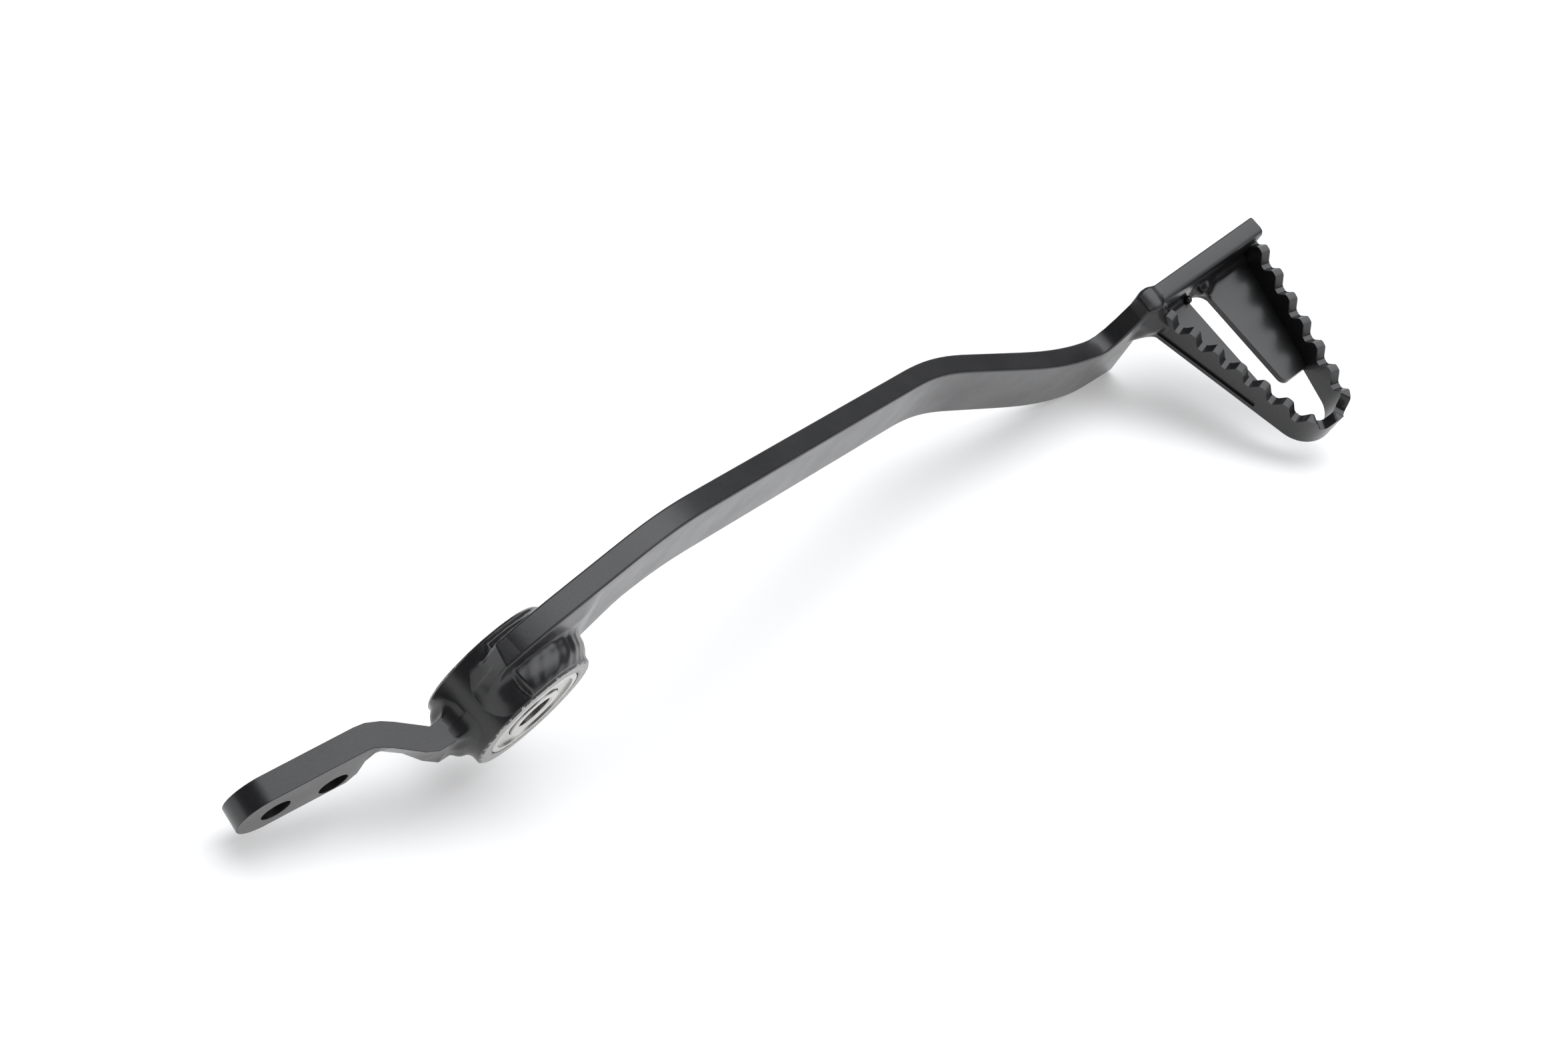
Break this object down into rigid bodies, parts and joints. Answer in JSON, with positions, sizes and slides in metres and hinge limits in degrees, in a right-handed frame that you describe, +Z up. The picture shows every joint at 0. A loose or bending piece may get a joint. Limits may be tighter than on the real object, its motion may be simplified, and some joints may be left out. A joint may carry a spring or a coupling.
{
  "type": "rear brake pedal",
  "caption": "Welded steel rear brake pedal: plate arm on a ball-bearing pivot hub, a short joggled rod lever behind it and a serrated open foot loop in front.",
  "frame": {"origin": "centre of the hub bore, halfway along the barrel", "axes": "+X forward along the arm's first straight run, +Y inboard along the pivot, +Z up, with the foot bar's top level"},
  "size_m": [0.3084, 0.0831, 0.1153],
  "materials": {
    "black_coat": "satin",
    "hub_coat": "satin, with bare machined end faces",
    "bearing_steel": "ground",
    "pressed_steel": "plain",
    "spacer_steel": "turned"
  },
  "bodies": {
    "pedal": {"arm_plate": "black_coat", "hub_barrel": "hub_coat", "rear_lever": "black_coat", "foot_bar": "black_coat", "cleat_loop": "black_coat", "outer_ring_a": "bearing_steel", "shield_a1": "pressed_steel", "shield_a2": "pressed_steel", "outer_ring_b": "bearing_steel", "shield_b1": "pressed_steel", "shield_b2": "pressed_steel", "weld_arm_outer": "black_coat", "weld_arm_inner": "black_coat", "weld_arm_end": "black_coat", "weld_lever": "black_coat", "weld_foot_joint": "black_coat", "weld_loop_rear": "black_coat", "weld_loop_front": "black_coat", "weld_spatter": "black_coat"},
    "inner_rings": {"inner_ring_a": "bearing_steel", "inner_ring_b": "bearing_steel", "inner_spacer": "spacer_steel"},
    "ball_set_a": {"balls_a": "bearing_steel", "cage_a": "pressed_steel"},
    "ball_set_b": {"balls_b": "bearing_steel", "cage_b": "pressed_steel"}
  },
  "joints": [
    {"name": "pivot_turn", "type": "hinge", "parent": "pedal", "child": "inner_rings", "pos_m": [0, 0, 0], "axis": [0, 1, 0], "continuous": true},
    {"name": "ball_set_a_turn", "type": "hinge", "parent": "pedal", "child": "ball_set_a", "pos_m": [0, 0, 0], "axis": [0, 1, 0], "continuous": true},
    {"name": "ball_set_b_turn", "type": "hinge", "parent": "pedal", "child": "ball_set_b", "pos_m": [0, 0, 0], "axis": [0, 1, 0], "continuous": true}
  ],
  "couplings": [
    {"joint": "ball_set_a_turn", "follows": "pivot_turn", "ratio": 0.3677},
    {"joint": "ball_set_b_turn", "follows": "pivot_turn", "ratio": 0.3677}
  ]
}
